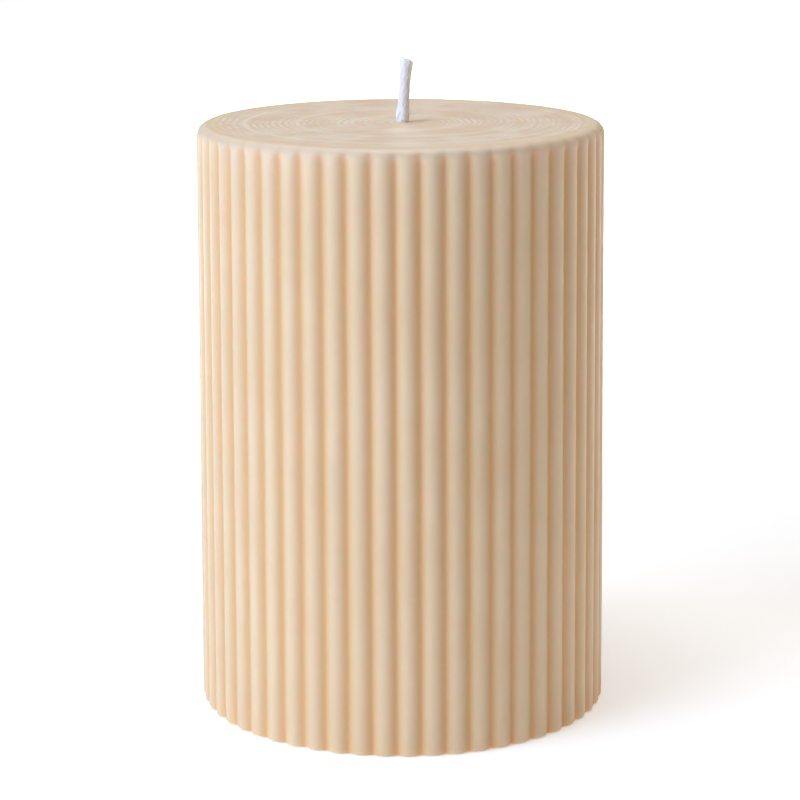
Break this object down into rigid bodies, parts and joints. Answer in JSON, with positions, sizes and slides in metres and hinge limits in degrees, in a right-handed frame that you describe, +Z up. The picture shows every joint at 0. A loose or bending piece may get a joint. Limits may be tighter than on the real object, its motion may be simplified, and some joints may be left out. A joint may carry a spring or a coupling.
{
  "type": "ribbed pillar candle",
  "caption": "Straight round pillar candle with fine vertical ribs, a flat top with a rounded rim, a short leaning cotton wick and a metal wick tab in the base.",
  "frame": {"origin": "centre of the candle's base, on the surface that it stands on", "axes": "+Z up along the axis of the wax body; -Y is the front; the tip of the wick leans towards +X"},
  "size_m": [0.07, 0.07, 0.1108],
  "materials": {
    "wax": "satin cream wax, slightly translucent",
    "cotton_wick": "plaited white cotton, lightly waxed",
    "tab_metal": "bright tin plate, satin"
  },
  "bodies": {
    "root": {"wax_body": "wax", "wick": "cotton_wick", "wick_tab": "tab_metal"}
  },
  "joints": []
}
